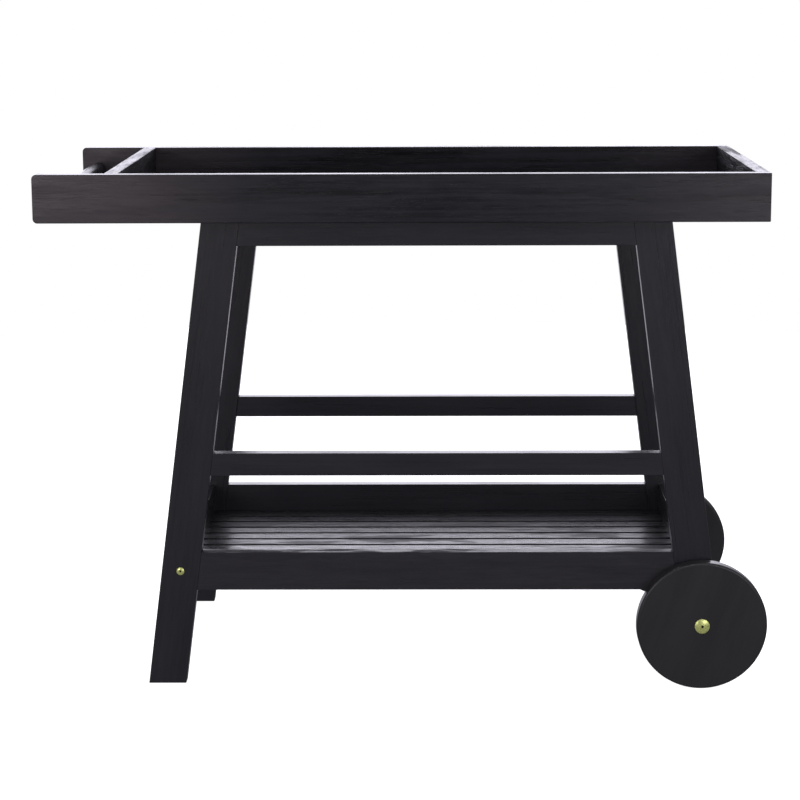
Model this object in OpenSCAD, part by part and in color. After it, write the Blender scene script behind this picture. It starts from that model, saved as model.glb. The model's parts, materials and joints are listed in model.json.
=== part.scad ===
// Bar cart: a slatted tray with a round handle at one end, carried on a splayed
// four-leg frame with a slatted lower shelf and two wooden wheels at the other end.
// +X runs from the handle to the wheels, -Y is the front, +Z is up, and the origin
// is on the floor under the middle of the bounding box.

/* [Tray] */
// Length of the tray rails, from the handle end to the wheel end
rail_l = 1100; // [1000:5:1200]
// Width of the tray across its two long rails
tray_w = 500; // [440:5:560]
// Height of the tray rails
rail_h = 73; // [66:1:90]
// Thickness of the tray boards, the aprons and the shelf rails
board_t = 20; // [18:1:24]
// Height of the tray's rim above the floor
rim_z = 795; // [760:5:850]
// Depth of the tray from its rim down to its slats
tray_depth = 50; // [40:1:54]
// Number of slats in the tray
tray_slats = 12; // [10:1:13]

/* [Handle] */
// Reach of the rails past the tray's left end board
handle_reach = 105; // [90:1:130]
// Diameter of the round handle bar
handle_d = 25; // [20:1:28]
// Distance from the rail ends to the handle's centre
handle_x = 26; // [22:1:40]
// Depth of the handle's centre below the tray's rim
handle_drop = 38; // [30:1:40]
// Corner radius of the rails at the handle
arm_corner_r = 7; // [2:1:12]

/* [Frame] */
// Width of a leg, measured level
leg_w = 58; // [50:1:64]
// Thickness of a leg
leg_t = 22; // [20:1:26]
// Lean of a leg away from upright, in degrees
leg_splay = 7.5; // [5:0.5:9]
// Distance from the tray's end to a leg's outer edge, at the rails' underside
leg_inset = 144; // [120:1:160]
// Height of the aprons that shows below the tray rails
apron_drop = 37; // [30:1:50]
// Height of the guard rails above the floor, at their underside
guard_z = 331; // [300:1:400]
// Height of a guard rail board
guard_h = 35; // [28:1:45]

/* [Shelf] */
// Height of the shelf rails above the floor, at their underside
shelf_z = 150; // [145:1:180]
// Height of a shelf rail board
shelf_h = 60; // [56:1:70]
// Depth from the top of the shelf rails down to the slats
shelf_recess = 45.5; // [30:0.5:46]
// Number of slats in the shelf
shelf_slats = 11; // [9:1:12]

/* [Slats] */
// Thickness of a slat
slat_t = 12; // [10:1:14]
// Gap between two slats
slat_gap = 8; // [3:0.5:9]
// Thickness of the battens under the slats
batten_t = 8; // [7:0.5:8]
// Width of the battens under the slats
batten_w = 40; // [30:1:50]

/* [Wheels] */
// Diameter of a wheel
wheel_d = 200; // [180:5:220]
// Thickness of a wheel
wheel_t = 22; // [18:1:25]
// Gap between a wheel and its leg
wheel_gap = 6; // [4:1:8]
// Rounding of a wheel's edges
wheel_edge_r = 3.5; // [1:0.5:5]
// Diameter of a wheel bolt's shank
axle_d = 8; // [6:1:10]
// Diameter of a wheel bolt's domed head
axle_head_d = 23; // [18:1:26]

/* [Hidden] */
$fn = 64;

function numbered(name, count) = [for (i = [1:count]) str(name, "_", i)];

// Colours
stain_c = "#2c2a2d";
slat_c = "#363438";
wheel_c = "#2e2d30";
dowel_c = "#c9a877";
zinc_c = "#b9b06a";
steel_c = "#a9abad";
nylon_c = "#454547";

// Clearances
loose = 0.1;        // round a fastener or dowel in its hole
running = 0.05;     // between a wheel bush and its bolt
side_play = 0.3;    // between a wheel and what stands beside it
past = 1;           // how far a cutter runs past the face it cuts

// Levels
rail_z = rim_z - rail_h;
tray_slat_z = rim_z - tray_depth - slat_t;      // underside of the tray slats
apron_z = rail_z - apron_drop;
apron_h = tray_slat_z - apron_z;                // the base frame ends under the tray slats
shelf_slat_z = shelf_z + shelf_h - shelf_recess - slat_t;
bolt_z = shelf_z + shelf_h / 2;
handle_z = rim_z - handle_drop;
axle_z = wheel_d / 2;

// Planes across the cart, as distances from its middle
tray_in_y = tray_w / 2 - board_t;               // inner faces of the tray rails
leg_out_y = tray_in_y;                          // the legs stand just inside the tray rails
leg_in_y = leg_out_y - leg_t;
board_in_y = leg_out_y - board_t;               // inner faces of aprons and shelf rails
board_mid_y = leg_out_y - board_t / 2;
wheel_in_y = leg_out_y + wheel_gap;
wheel_out_y = wheel_in_y + wheel_t;

// Places along the cart, measured from the handle end
lean = tan(leg_splay);
tray_x0 = handle_reach;                         // outer face of the left end board
left_leg_x = tray_x0 + leg_inset + leg_w / 2;   // leg centres at the rails' underside
right_leg_x = rail_l - leg_inset - leg_w / 2;
axle_x = leg_x("right", axle_z);
overall_l = axle_x + wheel_d / 2;

// Joinery
groove_d = 8;                                   // depth of the grooves that hold the slats' tongues
tongue_t = slat_t / 2;                          // the tongue is the lower half of a slat's end
dowel_r = 4;
dowel_l = 36;
corner_dowel_depth = 12;                        // depth of a dowel or handle in a tray rail
cross_dowel_depth = 14;                         // depth of a cross rail dowel in a leg
edge_in = 12;                                   // from a board's edge to its dowels
tray_dowel_rise = 30;                           // of the lower corner dowels, clear above the groove
tray_dowel_top = 15;                            // of the upper corner dowels below the rim
frame_bolt_r = 3;
frame_bolt_head_r = 6;
frame_bolt_l = 57;
barrel_r = 5;
barrel_l = 16;
barrel_in = 28;                                 // from a leg's inner face to the barrel nut
screw_r = 1.75;
screw_head_r = 3.5;
screw_head_h = 3;
slat_screw_l = 18;
batten_end = 9;                                 // least distance from a batten's end to a screw
tray_screw_l = 30;
axle_r = axle_d / 2;
axle_head_r = axle_head_d / 2;
bush_r = axle_r + 3;
spacer_r = axle_r + 8;
nut_h = 8;
nut_r = 7.5;
nut_flange_r = 9;
nut_flange_t = 1.6;

// Centre of a leg at height z, from the handle end
function leg_x(end, z) = end == "left"
    ? left_leg_x - lean * (rail_z - z)
    : right_leg_x + lean * (rail_z - z);

// Inner edge of a leg at height z, where the rails between the legs meet it
function leg_inner_x(end, z) = leg_x(end, z) + (end == "left" ? leg_w / 2 : -leg_w / 2);

// Middle of the upright cross rail of a given level
function cross_x(end, z, h) = leg_x(end, z + h / 2);

// Two places at thirds of a span
function third(from, to, end) = from + (to - from) * (end == "left" ? 1 : 2) / 3;

tray_batten_x = [for (e = ["left", "right"])
    third(cross_x("left", apron_z, apron_h), cross_x("right", apron_z, apron_h), e)];
shelf_batten_x = [for (e = ["left", "right"])
    third(cross_x("left", shelf_z, shelf_h), cross_x("right", shelf_z, shelf_h), e)];

// Middle of slat i of n in a space of the given width, counted from the front
function slat_w(space, n) = (space - (n + 1) * slat_gap) / n;
function slat_y(space, n, i) = -space / 2 + slat_gap + slat_w(space, n) / 2
    + i * (slat_w(space, n) + slat_gap);

// Its screws stand in its middle, but always well within the ends of the battens
function screw_y(space, n, i) =
    let (y = slat_y(space, n, i)) sign(y) * min(abs(y), board_in_y - batten_end);

// Heights of the dowels in a board that stands from z to z + h
function dowel_heights(z, h) = h > 4 * edge_in - 1 ? [z + edge_in, z + h - edge_in] : [z + h / 2];

// ---- Helpers -------------------------------------------------------------

// From places measured along the cart to the cart's own frame
module in_frame() {
    translate([-overall_l / 2, 0, 0]) children();
}

// Draws at the front, or mirrored to the back
module on_side(side) {
    if (side == "front") children();
    else mirror([0, 1, 0]) children();
}

// A flat outline in X and Z, as a board between two planes across the cart
module board(y0, y1) {
    translate([0, y1, 0]) rotate([90, 0, 0]) linear_extrude(y1 - y0) children();
}

// Stands a Z-axis piece at a place, with its +Z end towards the front
module facing_front(p) {
    translate(p) rotate([90, 0, 0]) children();
}

// Lays a Z-axis piece along X, centred on a place
module along_x(p) {
    translate(p) rotate([0, 90, 0]) children();
}

// Dowels between the legs and the boards of one side, or their holes
module side_dowels(z, h, gap = 0) {
    for (end = ["left", "right"], dz = dowel_heights(z, h))
        along_x([leg_inner_x(end, dz), -board_mid_y, dz])
            cylinder(r = dowel_r + gap, h = dowel_l + 2 * gap, center = true);
}

// Dowels of a cross rail into a front leg, or their holes
module cross_dowels(end, gap = 0) {
    for (dz = dowel_heights(apron_z, apron_h))
        facing_front([cross_x(end, apron_z, apron_h), -leg_in_y - cross_dowel_depth + dowel_l, dz])
            translate([0, 0, -gap]) cylinder(r = dowel_r + gap, h = dowel_l + 2 * gap);
}

// Dowels of one tray corner into the front rail, or their holes
module corner_dowels(x, gap = 0) {
    for (dz = [rail_z + tray_dowel_rise, rim_z - tray_dowel_top])
        facing_front([x, -tray_in_y - corner_dowel_depth + dowel_l, dz])
            translate([0, 0, -gap]) cylinder(r = dowel_r + gap, h = dowel_l + 2 * gap);
}

// A countersunk wood screw that points along +Z, its head's face at the origin
module wood_screw(l, gap = 0) {
    rotate_extrude() polygon([
        [0, 0], [screw_head_r + gap, 0], [screw_r + gap, screw_head_h], [screw_r + gap, l - 2 * screw_r],
        [0, l + gap]
    ]);
}

// The slat screws of one floor, or their holes
module floor_screws(space, n, z, batten_x, gap = 0) {
    for (x = batten_x, i = [0:n - 1])
        translate([x, screw_y(space, n, i), z - batten_t]) wood_screw(slat_screw_l, gap);
}

// The screws through an apron into the tray rail, or their holes
module apron_screws(gap = 0) {
    for (x = [1, 3, 5])
        translate([
            left_leg_x + (right_leg_x - left_leg_x) * x / 6,
            -board_in_y,
            (rail_z + tray_slat_z) / 2
        ]) rotate([90, 0, 0]) wood_screw(tray_screw_l, gap);
}

// A slightly domed head with a hexagon socket, on a plain shank
module socket_bolt(head_r, rim, crown, shank_r, shank_l, socket_r, socket_d) {
    dome_r = (head_r * head_r + crown * crown) / (2 * crown);
    difference() {
        union() {
            rotate_extrude() intersection() {
                translate([0, rim + crown - dome_r]) circle(dome_r, $fn = 256);
                square([head_r, rim + crown]);
            }
            translate([0, 0, -shank_l]) cylinder(r = shank_r, h = shank_l + rim / 2);
        }
        translate([0, 0, rim + crown - socket_d]) cylinder(r = socket_r, h = socket_d + past, $fn = 6);
    }
}

// ---- Tray ----------------------------------------------------------------

module tray_rail(side) {
    r = arm_corner_r;
    color(stain_c) in_frame() on_side(side) difference() {
        board(-tray_w / 2, -tray_in_y) {
            translate([r, rail_z]) square([rail_l - r, rail_h]);
            translate([0, rail_z + r]) square([r + past, rail_h - 2 * r]);
            for (z = [rail_z + r, rim_z - r]) translate([r, z]) circle(r);
        }
        corner_dowels(tray_x0 + board_t / 2, loose);
        corner_dowels(rail_l - board_t / 2, loose);
        apron_screws(loose);
        facing_front([handle_x, -tray_in_y + past, handle_z])
            cylinder(d = handle_d + 2 * loose, h = corner_dowel_depth + past + loose);
    }
}

// An end board, with the groove for the slats' tongues in its inner face
module tray_end(end) {
    x0 = end == "left" ? tray_x0 : rail_l - board_t;
    groove_x = end == "left" ? x0 + board_t - groove_d : x0 - past;
    color(stain_c) in_frame() difference() {
        translate([x0, -tray_in_y, rail_z]) cube([board_t, 2 * tray_in_y, rail_h]);
        translate([groove_x, -tray_in_y + slat_gap, tray_slat_z])
            cube([groove_d + past, 2 * (tray_in_y - slat_gap), tongue_t]);
        for (side = ["front", "back"]) on_side(side) corner_dowels(x0 + board_t / 2, loose);
    }
}

module handle_bar() {
    color(stain_c) in_frame() translate([handle_x, 0, handle_z]) rotate([90, 0, 0])
        cylinder(d = handle_d, h = 2 * (tray_in_y + corner_dowel_depth), center = true);
}

// A slat of either floor between x0 and x1, with a tongue at each end and the holes of its screws
module slat(space, n, i, x0, x1, z, batten_x) {
    w = slat_w(space, n);
    color(slat_c) in_frame() difference() {
        translate([x0, slat_y(space, n, i) - w / 2, z]) {
            cube([x1 - x0, w, slat_t]);
            translate([-groove_d, 0, 0]) cube([x1 - x0 + 2 * groove_d, w, tongue_t]);
        }
        for (x = batten_x)
            translate([x, screw_y(space, n, i), z - batten_t]) wood_screw(slat_screw_l, loose);
    }
}

module tray_slat(i) {
    slat(2 * tray_in_y, tray_slats, i, tray_x0 + board_t, rail_l - board_t, tray_slat_z, tray_batten_x);
}

// A batten under one of the floors
module batten(x, z, space, n) {
    color(stain_c) in_frame() difference() {
        translate([x - batten_w / 2, -board_in_y, z - batten_t]) cube([batten_w, 2 * board_in_y, batten_t]);
        floor_screws(space, n, z, [x], loose);
    }
}

// ---- Frame ---------------------------------------------------------------

// The outline of a left leg, from the floor up to the tray slats
module left_leg_outline() {
    polygon([
        for (z = [0, tray_slat_z]) [leg_x("left", z) - leg_w / 2, z],
        for (z = [tray_slat_z, 0]) [leg_x("left", z) + leg_w / 2, z]
    ]);
}

// The outline of a right leg, which ends in a half round about the wheel's axis
module right_leg_outline() {
    end_r = leg_w / 2 * cos(leg_splay);
    intersection() {
        translate([axle_x, axle_z]) rotate(leg_splay) union() {
            circle(end_r);
            translate([-end_r, 0]) square([2 * end_r, rim_z]);
        }
        square([rail_l + leg_w, tray_slat_z]);
    }
}

module leg(side, end) {
    color(stain_c) in_frame() on_side(side) difference() {
        board(-leg_out_y, -leg_in_y) {
            if (end == "left") left_leg_outline();
            else right_leg_outline();
        }
        side_dowels(apron_z, apron_h, loose);
        side_dowels(guard_z, guard_h, loose);
        side_dowels(shelf_z, shelf_h, loose);
        cross_dowels(end, loose);
        facing_front([leg_x(end, bolt_z), -leg_in_y + past, bolt_z])
            cylinder(r = frame_bolt_r + loose, h = leg_t + 2 * past);
        if (end == "right")
            facing_front([axle_x, -leg_in_y + past, axle_z])
                cylinder(r = axle_r + loose, h = leg_t + 2 * past);
    }
}

// A board between the two legs of one side, its ends cut to the legs' lean
module side_board(side, z, h) {
    color(stain_c) in_frame() on_side(side) difference() {
        board(-leg_out_y, -board_in_y) polygon([
            [leg_inner_x("left", z), z], [leg_inner_x("right", z), z],
            [leg_inner_x("right", z + h), z + h], [leg_inner_x("left", z + h), z + h]
        ]);
        side_dowels(z, h, loose);
        if (z == apron_z) apron_screws(loose);
    }
}

// The upright rail under the tray, between the front and back legs of one end
module cross_rail(end) {
    color(stain_c) in_frame() difference() {
        translate([cross_x(end, apron_z, apron_h) - board_t / 2, -leg_in_y, apron_z])
            cube([board_t, 2 * leg_in_y, apron_h]);
        for (side = ["front", "back"]) on_side(side) cross_dowels(end, loose);
    }
}

// ---- Shelf ---------------------------------------------------------------

shelf_inner_x = [
    cross_x("left", shelf_z, shelf_h) + board_t / 2,
    cross_x("right", shelf_z, shelf_h) - board_t / 2
];

// An end rail of the shelf, grooved for the slats and bored for its bolts and barrel nuts
module shelf_end(end) {
    x0 = cross_x(end, shelf_z, shelf_h) - board_t / 2;
    groove_x = end == "left" ? shelf_inner_x[0] - groove_d : shelf_inner_x[1] - past;
    barrel_x = end == "left" ? x0 - past : x0 + board_t - barrel_l - 2 * loose;
    color(stain_c) in_frame() difference() {
        translate([x0, -leg_in_y, shelf_z]) cube([board_t, 2 * leg_in_y, shelf_h]);
        translate([groove_x, -board_in_y + slat_gap, shelf_slat_z])
            cube([groove_d + past, 2 * (board_in_y - slat_gap), tongue_t]);
        for (side = ["front", "back"]) on_side(side) {
            translate([barrel_x, -leg_in_y + barrel_in, bolt_z]) rotate([0, 90, 0])
                cylinder(r = barrel_r + loose, h = barrel_l + 2 * loose + past);
            facing_front([x0 + board_t / 2, -leg_out_y + frame_bolt_l + past, bolt_z])
                cylinder(r = frame_bolt_r + loose, h = frame_bolt_l + past);
        }
    }
}

module shelf_slat(i) {
    slat(2 * board_in_y, shelf_slats, i, shelf_inner_x[0], shelf_inner_x[1], shelf_slat_z, shelf_batten_x);
}

// ---- Wheels --------------------------------------------------------------

// Half a wheel's section, from its bore to its rounded rim
module wheel_section() {
    e = wheel_edge_r;
    r = wheel_d / 2;
    translate([bush_r, 0]) square([r - e - bush_r, wheel_t]);
    translate([r - e - past, e]) square([e + past, wheel_t - 2 * e]);
    for (z = [e, wheel_t - e]) translate([r - e, z]) circle(e);
}

module wheel(side) {
    color(wheel_c) in_frame() on_side(side) facing_front([axle_x, -wheel_in_y, axle_z])
        rotate_extrude($fn = 128) wheel_section();
}

module wheel_bush(side) {
    color(nylon_c) in_frame() on_side(side) facing_front([axle_x, -wheel_in_y, axle_z])
        rotate_extrude() translate([axle_r + running, 0]) square([bush_r - axle_r - running, wheel_t]);
}

module axle_bolt(side) {
    rim = 0.8;
    crown = 2.4;
    socket_r = 2.4;
    shank_l = wheel_t + wheel_gap + leg_t + nut_h + nut_flange_t + 2;
    color(zinc_c) in_frame() on_side(side) facing_front([axle_x, -wheel_out_y - side_play, axle_z])
        socket_bolt(axle_head_r, rim, crown, axle_r, shank_l, socket_r, 3);
}

// The spacers that hold the wheels clear of the legs
module wheel_spacers() {
    color(nylon_c) in_frame() for (side = ["front", "back"])
        on_side(side) facing_front([axle_x, -leg_out_y, axle_z]) difference() {
            cylinder(r = spacer_r, h = wheel_gap - side_play);
            translate([0, 0, -past]) cylinder(r = axle_r + loose, h = wheel_gap + 2 * past);
        }
}

// Flange nuts on the wheel bolts, inside the legs
module axle_nuts() {
    color(steel_c) in_frame() for (side = ["front", "back"])
        on_side(side) facing_front([axle_x, -leg_in_y + nut_h + nut_flange_t, axle_z]) difference() {
            union() {
                cylinder(r = nut_r, h = nut_h, $fn = 6);
                translate([0, 0, nut_h]) cylinder(r = nut_flange_r, h = nut_flange_t);
            }
            translate([0, 0, -past]) cylinder(r = axle_r + loose, h = nut_h + nut_flange_t + 2 * past);
        }
}

// ---- Fasteners -----------------------------------------------------------

// Bolts through the four legs into the shelf's end rails
module frame_bolts() {
    color(zinc_c) in_frame() for (side = ["front", "back"], end = ["left", "right"])
        on_side(side) facing_front([leg_x(end, bolt_z), -leg_out_y, bolt_z])
            socket_bolt(frame_bolt_head_r, 0.6, 1.4, frame_bolt_r, frame_bolt_l, 1.9, 1.8);
}

// Cross-drilled barrel nuts in the shelf's end rails
module barrel_nuts() {
    color(steel_c) in_frame() for (side = ["front", "back"], end = ["left", "right"]) {
        x0 = cross_x(end, shelf_z, shelf_h) + (end == "left" ? -board_t / 2 : board_t / 2 - barrel_l);
        on_side(side) difference() {
            translate([x0, -leg_in_y + barrel_in, bolt_z]) rotate([0, 90, 0])
                cylinder(r = barrel_r, h = barrel_l);
            facing_front([leg_x(end, bolt_z), -leg_in_y + barrel_in + barrel_r + past, bolt_z])
                cylinder(r = frame_bolt_r + loose, h = 2 * (barrel_r + past));
        }
    }
}

// Hidden dowels in every glued joint of the tray and the frame
module joint_dowels() {
    color(dowel_c) in_frame() for (side = ["front", "back"]) on_side(side) {
        side_dowels(apron_z, apron_h);
        side_dowels(guard_z, guard_h);
        side_dowels(shelf_z, shelf_h);
        for (end = ["left", "right"]) cross_dowels(end);
        for (x = [tray_x0 + board_t / 2, rail_l - board_t / 2]) corner_dowels(x);
    }
}

// Screws up through the battens into every slat
module slat_screws() {
    color(steel_c) in_frame() {
        floor_screws(2 * tray_in_y, tray_slats, tray_slat_z, tray_batten_x);
        floor_screws(2 * board_in_y, shelf_slats, shelf_slat_z, shelf_batten_x);
    }
}

// Screws through the aprons into the tray rails
module tray_screws() {
    color(steel_c) in_frame() for (side = ["front", "back"]) on_side(side) apron_screws();
}

// ---- Nodes ---------------------------------------------------------------

tray_rail("front");  // tray_front_rail
tray_rail("back");  // tray_back_rail
tray_end("left");  // tray_left_end
tray_end("right");  // tray_right_end
handle_bar();
for (i = [1:tray_slats])
    tray_slat(i - 1);
batten(tray_batten_x[0], tray_slat_z, 2 * tray_in_y, tray_slats);  // tray_batten_left
batten(tray_batten_x[1], tray_slat_z, 2 * tray_in_y, tray_slats);  // tray_batten_right

leg("front", "left");  // leg_front_left
leg("back", "left");  // leg_back_left
leg("front", "right");  // leg_front_right
leg("back", "right");  // leg_back_right
side_board("front", apron_z, apron_h);  // front_apron
side_board("back", apron_z, apron_h);  // back_apron
cross_rail("left");  // left_cross_rail
cross_rail("right");  // right_cross_rail
side_board("front", guard_z, guard_h);  // front_guard_rail
side_board("back", guard_z, guard_h);  // back_guard_rail

side_board("front", shelf_z, shelf_h);  // shelf_front_rail
side_board("back", shelf_z, shelf_h);  // shelf_back_rail
shelf_end("left");  // shelf_left_rail
shelf_end("right");  // shelf_right_rail
for (i = [1:shelf_slats])
    shelf_slat(i - 1);
batten(shelf_batten_x[0], shelf_slat_z, 2 * board_in_y, shelf_slats);  // shelf_batten_left
batten(shelf_batten_x[1], shelf_slat_z, 2 * board_in_y, shelf_slats);  // shelf_batten_right

wheel("front");  // front_wheel
wheel("back");  // back_wheel
wheel_bush("front");  // front_wheel_bush
wheel_bush("back");  // back_wheel_bush
axle_bolt("front");  // front_axle_bolt
axle_bolt("back");  // back_axle_bolt
wheel_spacers();
axle_nuts();

frame_bolts();
barrel_nuts();
joint_dowels();
slat_screws();
tray_screws();
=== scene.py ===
"""Looks for the bar cart: eased, stained boards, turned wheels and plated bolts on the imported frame."""

import json
import math

import bmesh
import bpy
from mathutils import Matrix, Vector


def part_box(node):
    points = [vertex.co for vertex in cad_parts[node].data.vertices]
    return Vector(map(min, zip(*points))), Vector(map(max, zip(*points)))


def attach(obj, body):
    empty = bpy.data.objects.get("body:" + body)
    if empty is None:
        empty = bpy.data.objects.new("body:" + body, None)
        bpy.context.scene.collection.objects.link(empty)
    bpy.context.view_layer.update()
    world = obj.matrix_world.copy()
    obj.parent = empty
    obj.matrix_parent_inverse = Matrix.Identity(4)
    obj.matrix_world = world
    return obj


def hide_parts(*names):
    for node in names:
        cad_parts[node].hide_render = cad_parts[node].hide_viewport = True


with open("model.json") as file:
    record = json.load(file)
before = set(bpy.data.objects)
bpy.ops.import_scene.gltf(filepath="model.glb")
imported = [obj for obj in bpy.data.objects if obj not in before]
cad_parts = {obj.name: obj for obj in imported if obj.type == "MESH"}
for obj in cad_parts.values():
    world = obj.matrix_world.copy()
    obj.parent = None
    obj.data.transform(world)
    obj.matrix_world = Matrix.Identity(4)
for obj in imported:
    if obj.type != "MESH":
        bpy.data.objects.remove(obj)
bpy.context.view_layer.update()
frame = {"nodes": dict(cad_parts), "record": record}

FRONT, BACK = -1, 1                     # sides of the cart along Y

# Width in metres of the easing along a board's edges, by material slot
EASES = {"tray_wood": 0.0015, "frame_wood": 0.0009, "slat_wood": 0.0007}
EASE_STEPS = 3
SHARP = math.radians(35)                # least angle of an edge that is eased
FLAT = math.radians(1)                  # faces closer in angle than this are one face
WELD = 1e-5                             # vertices closer than this are one vertex

SLOT_OF = {row["node"]: row["material_slot"] for row in frame["record"]["subparts"]}
BODY_OF = {n: b for b, nodes in frame["record"]["behaviour"]["bodies"].items() for n in nodes}


# ---- Node helpers ----------------------------------------------------------

class Tree:
    """A short way to add and link the nodes of one material or world."""

    def __init__(self, owner):
        owner.use_nodes = True
        self.owner = owner
        self.nodes = owner.node_tree.nodes
        self.links = owner.node_tree.links
        self.nodes.clear()

    def add(self, kind, inputs=None, **settings):
        """A node with its settings, and each input linked to a socket or set to a value."""
        node = self.nodes.new(kind)
        for key, value in settings.items():
            setattr(node, key, value)
        self.feed(node, inputs or {})
        return node

    def feed(self, node, inputs):
        for key, value in inputs.items():
            if isinstance(value, bpy.types.NodeSocket):
                self.links.new(value, node.inputs[key])
            else:
                node.inputs[key].default_value = value

    def math(self, operation, a, b, clamp=False):
        return self.add("ShaderNodeMath", {0: a, 1: b}, operation=operation, use_clamp=clamp).outputs[0]

    def stretched(self, vector, scale):
        return self.add("ShaderNodeVectorMath", {0: vector, 1: scale}, operation="MULTIPLY").outputs[0]

    def object_place(self):
        """Where a point lies in its piece's own frame, which stays with the piece as it moves."""
        return self.add("ShaderNodeTexCoord").outputs["Object"]

    def noise(self, vector, scale, detail=3.0, rough=0.5):
        return self.add("ShaderNodeTexNoise", {
            "Vector": vector, "Scale": scale, "Detail": detail, "Roughness": rough,
        }).outputs["Fac"]

    def noise_along(self, grain, cycles, detail=3.0, rough=0.6):
        """Noise with this many cycles per metre along, across and through the timber."""
        return self.noise(self.stretched(grain, cycles), 1.0, detail, rough)

    def spread(self, value, low, high, to_low=0.0, to_high=1.0):
        """The value taken from the range low to high to another range, and held within it."""
        return self.add("ShaderNodeMapRange", {
            "Value": value, "From Min": low, "From Max": high, "To Min": to_low, "To Max": to_high,
        }).outputs["Result"]

    def blend(self, factor, a, b):
        node = self.add("ShaderNodeMix", data_type="RGBA")
        self.feed(node, {"Factor": factor, 6: a, 7: b})
        return node.outputs[2]

    def bump(self, height, strength, distance):
        return self.add("ShaderNodeBump", {
            "Height": height, "Strength": strength, "Distance": distance,
        }).outputs["Normal"]

    def surface(self, **inputs):
        """Ends a material in a Principled shader with these inputs, and returns the material."""
        named = {key.replace("_", " "): value for key, value in inputs.items()}
        shader = self.add("ShaderNodeBsdfPrincipled", named)
        self.add("ShaderNodeOutputMaterial", {"Surface": shader.outputs["BSDF"]})
        return self.owner


def material_tree(name):
    return Tree(bpy.data.materials.new(name))


# ---- Materials ---------------------------------------------------------------

# Cycles per metre of the timber's noises, along, across and through it
WARP = (1.6, 9.0, 9.0)
STREAKS = (4.0, 190.0, 190.0)
PATCHES = (5.0, 28.0, 28.0)
PITS = (32.0, 900.0, 900.0)
FLECKS = (30.0, 220.0, 220.0)
END_LIGHT_MOTTLE = (14.0, 90.0, 90.0)
WEAR = (14.0, 60.0, 60.0)

RING_TAPER = (0.05, 1.0, 1.0)           # rings stay nearly straight along the timber
RING_BEND = (0.0, 0.030, 0.030)         # how far slow noise bends them, in metres
PORE_DEPTH = 0.0004                     # relief of the grain, in metres

# Where the tray rails are painted paler towards their ends, a painted highlight: two places along X, and
# the share of the pale colour at each
LEFT_END_PAINTED_LIGHT = (-0.24, -0.42, 0.0, 0.55)
RIGHT_END_PAINTED_LIGHT = (0.30, 0.48, 0.0, 0.25)
END_PAINTED_LIGHT_COLOUR = (0.074, 0.058, 0.061, 1.0)
WORN_EDGE = (0.080, 0.068, 0.066, 1.0)


def stained_wood(
    name, dark, light, rough, figure=0.5, worn=0.0, relief=1.0, patchy=0.1, dry=0.2, grainy=1.0,
    painted_light_ends=False, ior=1.38
):
    """Black-stained, oiled timber. The grain attribute holds the place along, across and through it.

    Dry tells how far the oil has sunk in over patches and flecks, which leaves them with less shine.
    Grainy tells how much the streaks and open pores of the timber show.
    """
    t = material_tree(name)
    grain = t.add("ShaderNodeAttribute", attribute_name="grain").outputs["Vector"]

    # Growth rings, bent by slow noise, give arches on the faces and arcs on the ends
    warp = t.add("ShaderNodeTexNoise", {
        "Vector": t.stretched(grain, WARP), "Scale": 1.0, "Detail": 2.0,
    }).outputs["Color"]
    bend = t.stretched(warp, RING_BEND)
    tapered = t.stretched(grain, RING_TAPER)
    ringed = t.add("ShaderNodeVectorMath", {0: tapered, 1: bend}, operation="ADD")
    rings = t.add("ShaderNodeTexWave", {
        "Vector": ringed.outputs[0], "Scale": 24.0, "Distortion": 1.5, "Detail": 3.0, "Detail Scale": 2.0,
    }, wave_type="RINGS", rings_direction="X", wave_profile="SAW").outputs["Fac"]

    streaks = t.noise_along(grain, STREAKS, detail=4.0)
    streaks = t.spread(streaks, 0.0, 1.0, 0.5 - 0.5 * grainy, 0.5 + 0.5 * grainy)
    patches = t.noise_along(grain, PATCHES)
    pores = t.spread(t.noise_along(grain, PITS, detail=2.0, rough=0.5), 0.60, 0.70, 0.0, grainy)

    tone = t.math("MULTIPLY", rings, figure)
    tone = t.math("ADD", tone, t.spread(streaks, 0.3, 0.7, 0.0, 0.5))
    tone = t.math("ADD", tone, t.spread(patches, 0.3, 0.7, -0.25, 0.5))
    tone = t.math("SUBTRACT", tone, t.math("MULTIPLY", pores, 0.35), clamp=True)
    colour = t.blend(tone, dark, light)

    # The tray rails are painted paler towards their ends, a painted highlight standing in for light on
    # the rail ends; use has rubbed the stain paler along the edges
    if painted_light_ends:
        x = t.add("ShaderNodeSeparateXYZ", {0: t.object_place()}).outputs["X"]
        ends = t.math("ADD", t.spread(x, *LEFT_END_PAINTED_LIGHT), t.spread(x, *RIGHT_END_PAINTED_LIGHT))
        thin = t.spread(t.noise_along(grain, END_LIGHT_MOTTLE), 0.25, 0.75, 0.5, 1.0)
        colour = t.blend(t.math("MULTIPLY", ends, thin), colour, END_PAINTED_LIGHT_COLOUR)
    if worn:
        bare = t.spread(t.noise_along(grain, WEAR), 0.5, 0.7, 0.0, worn)
        colour = t.blend(bare, colour, WORN_EDGE)

    # The oil has sunk in over long patches and small flecks
    flecks = t.spread(t.noise_along(grain, FLECKS), 0.48, 0.62, 0.0, 0.6)
    thirst = t.math("ADD", t.spread(patches, 0.53, 0.59), flecks, clamp=True)
    shine = t.spread(thirst, 0.0, 1.0, 0.5, 0.5 * (1.0 - dry))
    dull = t.spread(streaks, 0.25, 0.75, rough - 0.06, rough + 0.06)
    dull = t.math("ADD", dull, t.math("MULTIPLY", pores, 0.12))
    dull = t.math("ADD", dull, t.spread(patches, 0.45, 0.75, 0.0, patchy))
    dull = t.math("ADD", dull, t.math("MULTIPLY", thirst, 0.3 * dry ** 2))

    height = t.math("SUBTRACT", t.math("MULTIPLY", streaks, 0.8), t.math("MULTIPLY", pores, 0.5))
    normal = t.bump(height, 0.35 * relief, PORE_DEPTH)
    return t.surface(Base_Color=colour, Roughness=dull, IOR=ior, Specular_IOR_Level=shine, Normal=normal)


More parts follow.
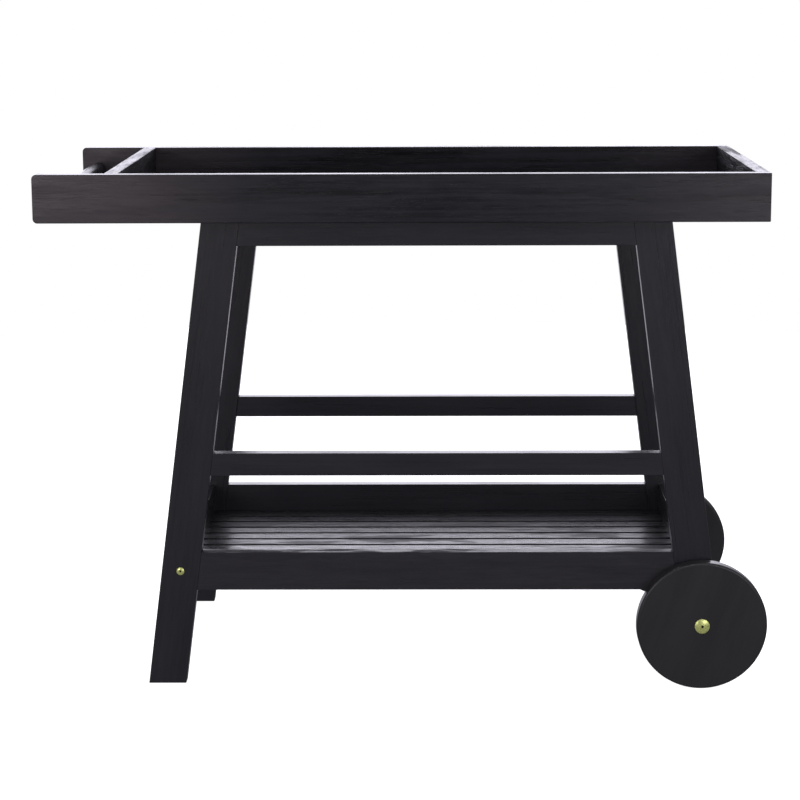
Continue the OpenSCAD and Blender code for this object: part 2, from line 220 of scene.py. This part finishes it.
def bare_wood(name):
    """Plain beech, for the dowels inside the joints."""
    t = material_tree(name)
    flecks = t.noise(t.object_place(), 60.0, 4.0, 0.6)
    return t.surface(
        Base_Color=t.blend(t.spread(flecks, 0.3, 0.7), (0.42, 0.27, 0.14, 1.0), (0.62, 0.44, 0.26, 1.0)),
        Roughness=t.spread(flecks, 0.3, 0.7, 0.5, 0.7),
        Normal=t.bump(flecks, 0.2, 0.0003),
    )


def plated_metal(name, dull, bright, rough, metallic=1.0):
    """Zinc-plated steel with a slightly cloudy plate and fine turning marks."""
    t = material_tree(name)
    place = t.object_place()
    cloud = t.noise(place, 320.0, 3.0, 0.6)
    marks = t.noise(place, 2600.0, 2.0, 0.5)
    return t.surface(
        Base_Color=t.blend(t.spread(cloud, 0.3, 0.7), dull, bright),
        Metallic=metallic,
        Roughness=t.spread(cloud, 0.25, 0.75, rough - 0.06, rough + 0.1),
        Normal=t.bump(marks, 0.12, 0.00005),
    )


def moulded_nylon(name, dark, light):
    """Matte nylon with a faint mould texture."""
    t = material_tree(name)
    grit = t.noise(t.object_place(), 1400.0, 2.0, 0.5)
    return t.surface(
        Base_Color=t.blend(t.spread(grit, 0.3, 0.7), dark, light),
        Roughness=t.spread(grit, 0.3, 0.7, 0.42, 0.56),
        Normal=t.bump(grit, 0.15, 0.0001),
    )


def grey(value, blue=1.12):
    """A near-neutral stain colour with a touch of violet."""
    return (value * 1.03, value, value * blue, 1.0)


WOODS = {
    "tray_wood": dict(
        dark=grey(0.001, blue=1.5), light=grey(0.012, blue=1.4), rough=0.34,
        relief=3.0, patchy=0.3, dry=0.5
    ),
    "frame_wood": dict(
        dark=grey(0.013, blue=1.2), light=grey(0.019, blue=1.2), rough=0.28,
        figure=0.2, relief=0.6, patchy=0.06, grainy=0.45
    ),
    "slat_wood": dict(dark=grey(0.006), light=grey(0.028), rough=0.27, relief=2.0, patchy=0.2, dry=0.6),
    "wheel_wood": dict(
        dark=grey(0.0180, blue=1.04), light=grey(0.0225, blue=1.04), rough=0.30,
        figure=0.06, relief=0.5, dry=0.1, grainy=0.2
    ),
    "handle_wood": dict(
        dark=grey(0.012), light=grey(0.022), rough=0.27, figure=0.2, relief=0.4, patchy=0.05
    ),
}
WOODS["tray_rail_wood"] = dict(
    WOODS["tray_wood"], rough=0.28, relief=1.0, patchy=0.12, dry=0.2, painted_light_ends=True
)
# The guard rails take a lighter copy of the frame stain: painted light, standing in for the light they
# catch
WOODS["guard_wood_painted_light"] = dict(
    WOODS["frame_wood"], dark=grey(0.016, blue=1.2), light=grey(0.024, blue=1.2), ior=1.32
)
# The front shelf rail takes a lighter copy of the frame stain than the back rail: painted light on the
# lit front rail
WOODS["shelf_rail_wood_painted_light"] = dict(
    WOODS["frame_wood"], dark=grey(0.021), light=grey(0.031), relief=1.5, patchy=0.2, dry=0.85, ior=1.25
)
faces = {name: stained_wood(name, **look) for name, look in WOODS.items()}
edges = {name: stained_wood(name + "_edge", worn=0.3, **look) for name, look in WOODS.items()}
LOOK_OF = {
    "tray_front_rail": "tray_rail_wood",
    "tray_back_rail": "tray_rail_wood",
    "front_guard_rail": "guard_wood_painted_light",
    "back_guard_rail": "guard_wood_painted_light",
    "shelf_front_rail": "shelf_rail_wood_painted_light",
}
# Near-black metal on the walls and floors of the bolts' sockets: painted shade in their depths
socket_painted_shade = plated_metal(
    "socket_painted_shade", dull=(0.030, 0.024, 0.018, 1.0), bright=(0.055, 0.045, 0.034, 1.0), rough=0.5
)
PLAIN = {
    "yellow_zinc": plated_metal(
        "yellow_zinc", dull=(0.44, 0.49, 0.14, 1.0), bright=(0.65, 0.69, 0.25, 1.0), rough=0.28,
        metallic=0.5
    ),
    "bright_zinc": plated_metal(
        "bright_zinc", dull=(0.45, 0.46, 0.47, 1.0), bright=(0.66, 0.67, 0.68, 1.0), rough=0.32
    ),
    "nylon": moulded_nylon("nylon", dark=(0.030, 0.030, 0.031, 1.0), light=(0.055, 0.055, 0.056, 1.0)),
    "dowel_wood": bare_wood("dowel_wood"),
}


# ---- Mesh helpers --------------------------------------------------------------

def long_axis(points):
    """Unit vector along a board, from the middle of one end to the middle of the other."""
    size = [max(p[i] for p in points) - min(p[i] for p in points) for i in range(3)]
    axis = size.index(max(size))
    low = min(p[axis] for p in points)
    high = max(p[axis] for p in points)
    reach = 0.02 * (high - low)
    ends = []
    for end in (low, high):
        near = [p for p in points if abs(p[axis] - end) <= reach]
        ends.append(sum(near, Vector()) / len(near))
    return (ends[1] - ends[0]).normalized()


def heart_offset(number):
    """From the heart of the log to the middle of a board: each number's board has a cut of its own."""
    golden = 0.618034                   # spreads the cuts evenly
    spot = (number * golden) % 1.0
    return Vector((1.7 * number, 0.09 * (spot - 0.5), 0.035 + 0.06 * ((3 * spot) % 1.0)))


def set_grain(mesh, along, number):
    """Stores where each vertex lies in the timber that its piece was cut from, in metres."""
    aside = Vector((0, 1, 0)) if abs(along.y) < 0.5 else Vector((0, 0, 1))
    across = along.cross(aside).normalized()
    through = along.cross(across)
    middle = sum((v.co for v in mesh.vertices), Vector()) / len(mesh.vertices)
    heart = heart_offset(number)
    grain = mesh.attributes.new("grain", "FLOAT_VECTOR", "POINT")
    for v in mesh.vertices:
        p = v.co - middle
        grain.data[v.index].vector = Vector((p.dot(along), p.dot(across), p.dot(through))) + heart


def outer_edges(bm):
    """The sharp edges between two faces that both bound the whole piece, so none of a hole or groove."""
    points = [v.co.copy() for v in bm.verts]
    touch = 2e-5                        # a point this close to a face's plane lies in it

    def bounds_all(face):
        level = face.normal.dot(face.verts[0].co)
        return all(face.normal.dot(p) - level < touch for p in points)

    outer = {f for f in bm.faces if bounds_all(f)}
    return [
        e for e in bm.edges
        if len(e.link_faces) == 2
        and all(f in outer for f in e.link_faces)
        and e.calc_face_angle() > SHARP
    ]


def show(bm, name, body, materials, stands_for):
    """Turns a bmesh into a smooth-shaded piece that rides on a body and stands for its CAD nodes."""
    mesh = bpy.data.meshes.new(name)
    for face in bm.faces:
        face.smooth = True
    bm.to_mesh(mesh)
    bm.free()
    for material in materials:
        mesh.materials.append(material)
    piece = bpy.data.objects.new(name, mesh)
    bpy.context.scene.collection.objects.link(piece)
    weighted = piece.modifiers.new("weighted_normals", "WEIGHTED_NORMAL")
    weighted.weight = 100
    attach(piece, body)
    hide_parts(*stands_for)
    return piece


def eased_board(node, ease, number):
    """The CAD board with its outer edges rounded over, in stained wood with rubbed edges."""
    bm = bmesh.new()
    bm.from_mesh(frame["nodes"][node].data)
    bmesh.ops.remove_doubles(bm, verts=bm.verts, dist=WELD)
    bmesh.ops.dissolve_limit(bm, angle_limit=FLAT, verts=bm.verts, edges=bm.edges)
    rounded = bmesh.ops.bevel(
        bm, geom=outer_edges(bm), offset=ease, segments=EASE_STEPS,
        profile=0.5, affect="EDGES", clamp_overlap=True
    )
    for face in rounded["faces"]:
        face.material_index = 1
    along = long_axis([v.co for v in bm.verts])
    slot = SLOT_OF[node]
    look = LOOK_OF.get(node, slot)
    piece = show(bm, node + "_wood", BODY_OF[node], [faces[look], edges[look]], [node])
    set_grain(piece.data, along, number)


def add_ring(bm, points):
    return [bm.verts.new(p) for p in points]


def bridge(bm, a, b):
    """Quads between two rings of the same count."""
    n = len(a)
    return [bm.faces.new((a[i], a[(i + 1) % n], b[(i + 1) % n], b[i])) for i in range(n)]


def arc(centre, radius, start, end, steps):
    """Points of an arc in a section's own plane, angles in degrees."""
    angles = [math.radians(start + (end - start) * k / steps) for k in range(steps + 1)]
    return [(centre[0] + radius * math.cos(a), centre[1] + radius * math.sin(a)) for a in angles]


def lathe(bm, section, place, segments, closed):
    """Turns a section of (radius, height) points about the Z axis of place, and gives the rings."""
    around = [2 * math.pi * k / segments for k in range(segments)]
    rings = []
    for radius, height in section:
        points = [Vector((radius * math.cos(a), radius * math.sin(a), height)) for a in around]
        rings.append(add_ring(bm, [place @ p for p in points]))
    following = rings[1:] + rings[:1] if closed else rings[1:]
    for a, b in zip(rings, following):
        bridge(bm, a, b)
    return rings


def facing(side, centre):
    """A matrix that stands a turned piece's +Z end towards the front or the back of the cart."""
    return Matrix.Translation(centre) @ Matrix.Rotation(math.radians(-90 * side), 4, "X")


# ---- Turned pieces -------------------------------------------------------------

def wheel(side_name, side, number):
    """A solid wooden disc with rounded edges and a clean bore for its bush."""
    node = side_name + "_wheel"
    low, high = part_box(node)
    centre = (low + high) / 2
    radius = (high.x - low.x) / 2
    half = (high.y - low.y) / 2
    bush_low, bush_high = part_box(node + "_bush")
    bore = (bush_high.x - bush_low.x) / 2
    rim_r, bore_r = 0.0035, 0.0006      # radii of the rounded edges
    section = arc((bore + bore_r, half - bore_r), bore_r, 180, 90, 3)
    section += [(0.35 * radius, half), (0.7 * radius, half)]
    section += arc((radius - rim_r, half - rim_r), rim_r, 90, 0, 6)
    section += [(r, -h) for r, h in reversed(section)]
    bm = bmesh.new()
    lathe(bm, section, facing(side, centre), 192, closed=True)
    bmesh.ops.recalc_face_normals(bm, faces=bm.faces)
    piece = show(bm, node + "_disc", BODY_OF[node], [faces["wheel_wood"]], [node])
    set_grain(piece.data, Vector((0.35, 0, 1)).normalized(), number)


def handle_bar(number):
    """The round bar between the two arms, its ends hidden in their sockets."""
    low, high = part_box("handle_bar")
    centre = (low + high) / 2
    radius = (high.x - low.x) / 2
    half = (high.y - low.y) / 2
    cut = 0.001                         # chamfer of the ends
    bm = bmesh.new()
    section = [(radius - cut, half), (radius, half - cut), (radius, -half + cut), (radius - cut, -half)]
    rings = lathe(bm, section, facing(FRONT, centre), 96, closed=False)
    bm.faces.new(rings[0])
    bm.faces.new(rings[-1])
    bmesh.ops.recalc_face_normals(bm, faces=bm.faces)
    piece = show(bm, "handle_bar_wood", "root", [faces["handle_wood"]], ["handle_bar"])
    set_grain(piece.data, Vector((0, 1, 0)), number)


def hexagon_radius(angle, corner_r):
    """Distance from the middle of a hexagon to its side, in a direction given in radians."""
    sixth = math.radians(60)
    return corner_r * math.cos(sixth / 2) / math.cos((angle % sixth) - sixth / 2)


def socket_bolt(bm, place, head_r, rim, crown, shank_r, shank_l, socket_r, socket_d):
    """A domed bolt with a hexagon socket. The head's underside is at the origin of place."""
    segments = 72
    socket_rings = 3
    around = [2 * math.pi * k / segments for k in range(segments)]
    top = rim + crown
    dome_r = (head_r ** 2 + crown ** 2) / (2 * crown)
    edge = 0.0003                       # rounding of the socket's mouth

    def ring(radius_of, height):
        outline = [(radius_of(a) * math.cos(a), radius_of(a) * math.sin(a)) for a in around]
        return add_ring(bm, [place @ Vector((x, y, height)) for x, y in outline])

    def dome_z(radius):
        return top - dome_r + math.sqrt(dome_r ** 2 - radius ** 2)

    rings = [
        ring(lambda a: 0.55 * hexagon_radius(a, socket_r), top - socket_d - 0.0004),
        ring(lambda a: hexagon_radius(a, socket_r), top - socket_d),
        ring(lambda a: hexagon_radius(a, socket_r), top - edge),
        ring(lambda a: hexagon_radius(a, socket_r) + edge, dome_z(socket_r)),
    ]
    for share in (0.55, 0.7, 0.83, 0.93):
        rings.append(ring(lambda a, r=share * head_r: r, dome_z(share * head_r)))
    rim_arc = arc((head_r - 0.0005, rim - 0.0003), 0.0005, 60, 0, 3)
    rings += [ring(lambda a, r=r: r, z) for r, z in rim_arc]
    under_head = [(head_r, 0.0002), (head_r - 0.0002, 0.0), (shank_r, 0.0)]
    tip = [(shank_r, -shank_l + 0.0008), (shank_r - 0.0008, -shank_l)]
    rings += [ring(lambda a, r=r: r, z) for r, z in under_head + tip]
    # The socket's walls and floor take the second slot, a near-black painted shade
    inside = []
    for k, (a, b) in enumerate(zip(rings, rings[1:])):
        made = bridge(bm, a, b)
        inside += made if k + 1 < socket_rings else []
    inside.append(bm.faces.new(rings[0]))
    bm.faces.new(rings[-1])
    for face in inside:
        face.material_index = 1


def bolt_piece(name, node, places, sizes):
    """One piece of one or more like bolts that stands for their CAD node."""
    bm = bmesh.new()
    for place in places:
        socket_bolt(bm, place, **sizes)
    bmesh.ops.recalc_face_normals(bm, faces=bm.faces)
    show(bm, name, "root", [PLAIN[SLOT_OF[node]], socket_painted_shade], [node])


def wheel_bolt(side_name, side):
    """The domed bolt that a wheel turns on."""
    node = side_name + "_axle_bolt"
    low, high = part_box(node)
    crown, rim = 0.0024, 0.0008
    outside = low.y if side == FRONT else high.y
    seat = Vector(((low.x + high.x) / 2, outside - side * (crown + rim), (low.z + high.z) / 2))
    bolt_piece(side_name + "_wheel_bolt", node, [facing(side, seat)], dict(
        head_r=(high.x - low.x) / 2, rim=rim, crown=crown, shank_r=0.004,
        shank_l=high.y - low.y - crown - rim, socket_r=0.0024, socket_d=0.003,
    ))


def leg_bolts():
    """The four bolts through the legs into the shelf's end rails."""
    low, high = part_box("frame_bolts")
    crown, rim, head_r = 0.0014, 0.0006, 0.006
    places = []
    for side, outside in ((FRONT, low.y), (BACK, high.y)):
        for x in (low.x + head_r, high.x - head_r):
            places.append(facing(side, Vector((x, outside - side * (crown + rim), (low.z + high.z) / 2))))
    bolt_piece("leg_bolts", "frame_bolts", places, dict(
        head_r=head_r, rim=rim, crown=crown, shank_r=0.003, shank_l=0.057,
        socket_r=0.0019, socket_d=0.0018,
    ))


# ---- The cart ------------------------------------------------------------------

boards = sorted(n for n, slot in SLOT_OF.items() if slot in EASES)
for number, node in enumerate(boards):
    eased_board(node, EASES[SLOT_OF[node]], number)

wheel("front", FRONT, len(boards))
wheel("back", BACK, len(boards) + 1)
handle_bar(len(boards) + 2)
wheel_bolt("front", FRONT)
wheel_bolt("back", BACK)
leg_bolts()

for node, material in ((n, PLAIN[s]) for n, s in SLOT_OF.items() if s in PLAIN):
    cad = frame["nodes"][node]
    cad.data.materials.clear()
    cad.data.materials.append(material)


# ---- Studio --------------------------------------------------------------------

FLOOR_R = 3.2
FLOOR_DROP = 0.0005                     # keeps the floor clear of the feet's undersides

LIGHT_TINT = (0.98, 0.96, 1.08, 1.0)
BACKDROP = 3.5                          # strengths of the light from the backdrop,
ROOM = 0.50                             # from the room
ROOM_FLOOR = 0.20                       # and from the room's floor

# Softboxes, in metres and watts
SOFTBOXES = {
    "left_panel": dict(
        place=(-1.88, -3.6, 0.85), aim=(0.0, 0.0, 0.7), width=1.5, height=1.2, power=33.0,
        colour=(1.0, 0.93, 0.96)
    ),
    "right_panel": dict(
        place=(1.88, -3.6, 0.85), aim=(0.0, 0.0, 0.7), width=1.5, height=1.2, power=31.0,
        colour=(0.96, 0.94, 1.0)
    ),
    "top_front": dict(
        place=(0.2, -2.4, 2.6), aim=(0.0, 0.0, 0.4), width=0.9, height=0.5, power=8.0,
        colour=(1.0, 1.0, 1.0)
    ),
}

EYE = (0.0439, -3.454, 1.1029)
TURN, DOWN, ROLL = (math.radians(a) for a in (0.566, 9.956, -0.206))
LENS, SENSOR = 97.37, 36.0              # mm
SHIFT_X, SHIFT_Y = -0.016, -0.0713


def floor():
    """A round pale floor, bright enough to lose itself in the white behind it."""
    t = material_tree("studio_floor")
    mottle = t.noise(t.object_place(), 3.0, 3.0, 0.5)
    surface = t.surface(
        Base_Color=t.blend(mottle, (0.58, 0.58, 0.58, 1.0), (0.62, 0.62, 0.62, 1.0)),
        Roughness=0.9,
        Emission_Color=(1.0, 1.0, 1.0, 1.0),
        Emission_Strength=0.95,
    )
    bm = bmesh.new()
    bmesh.ops.create_circle(bm, cap_ends=True, segments=96, radius=FLOOR_R)
    mesh = bpy.data.meshes.new("studio_floor")
    bm.to_mesh(mesh)
    bm.free()
    mesh.materials.append(surface)
    piece = bpy.data.objects.new("studio_floor", mesh)
    bpy.context.scene.collection.objects.link(piece)
    piece.location.z = -FLOOR_DROP
    piece.visible_glossy = False
    piece.visible_diffuse = False


def surround():
    """A cove that looks white, and lights the cart from a bright backdrop and a dimmer room."""
    t = Tree(bpy.data.worlds.new("cove"))

    # The backdrop fades out towards both sides, the floor and the front, by the unit direction to it
    direction = t.add("ShaderNodeTexCoord").outputs["Generated"]
    x, y, z = t.add("ShaderNodeSeparateXYZ", {0: direction}).outputs
    behind = t.spread(y, 0.15, 0.65)
    within = t.math("MULTIPLY", t.spread(x, 0.36, 0.18), t.spread(x, -0.60, -0.25))
    above_floor = t.spread(z, -0.30, 0.20)
    screen = t.math("MULTIPLY", t.math("MULTIPLY", behind, within), above_floor)
    backdrop = t.math("MULTIPLY", screen, BACKDROP - ROOM)
    room = t.spread(z, -0.25, 0.35, ROOM_FLOOR, ROOM)
    strength = t.math("ADD", backdrop, room)

    # The camera itself sees plain white
    light = t.add("ShaderNodeBackground", {"Color": LIGHT_TINT, "Strength": strength})
    white = t.add("ShaderNodeBackground", {"Color": (1.0, 1.0, 1.0, 1.0), "Strength": 1.0})
    seen = t.add("ShaderNodeLightPath").outputs["Is Camera Ray"]
    mix = t.add("ShaderNodeMixShader", {0: seen, 1: light.outputs[0], 2: white.outputs[0]})
    t.add("ShaderNodeOutputWorld", {"Surface": mix.outputs[0]})
    bpy.context.scene.world = t.owner


def softbox(name, place, aim, width, height, power, colour):
    """A rectangular soft light that faces a point."""
    lamp = bpy.data.lights.new(name, "AREA")
    lamp.shape = "RECTANGLE"
    lamp.size, lamp.size_y, lamp.energy, lamp.color = width, height, power, colour
    thing = bpy.data.objects.new(name, lamp)
    thing.location = place
    thing.rotation_euler = (Vector(aim) - Vector(place)).to_track_quat("-Z", "Y").to_euler()
    bpy.context.scene.collection.objects.link(thing)
    thing.visible_camera = False


def camera():
    """The view of the front long side, a little from above."""
    data = bpy.data.cameras.new("camera")
    data.lens, data.sensor_width = LENS, SENSOR
    data.shift_x, data.shift_y = SHIFT_X, SHIFT_Y
    data.clip_end = 100.0
    thing = bpy.data.objects.new("camera", data)
    thing.matrix_world = (
        Matrix.Translation(EYE)
        @ Matrix.Rotation(TURN, 4, "Z")
        @ Matrix.Rotation(math.radians(90) - DOWN, 4, "X")
        @ Matrix.Rotation(ROLL, 4, "Z")
    )
    bpy.context.scene.collection.objects.link(thing)
    bpy.context.scene.camera = thing


floor()
surround()
for name, settings in SOFTBOXES.items():
    softbox(name, **settings)
camera()
bpy.context.scene.view_settings.view_transform = "Standard"
bpy.context.scene.view_settings.look = "None"
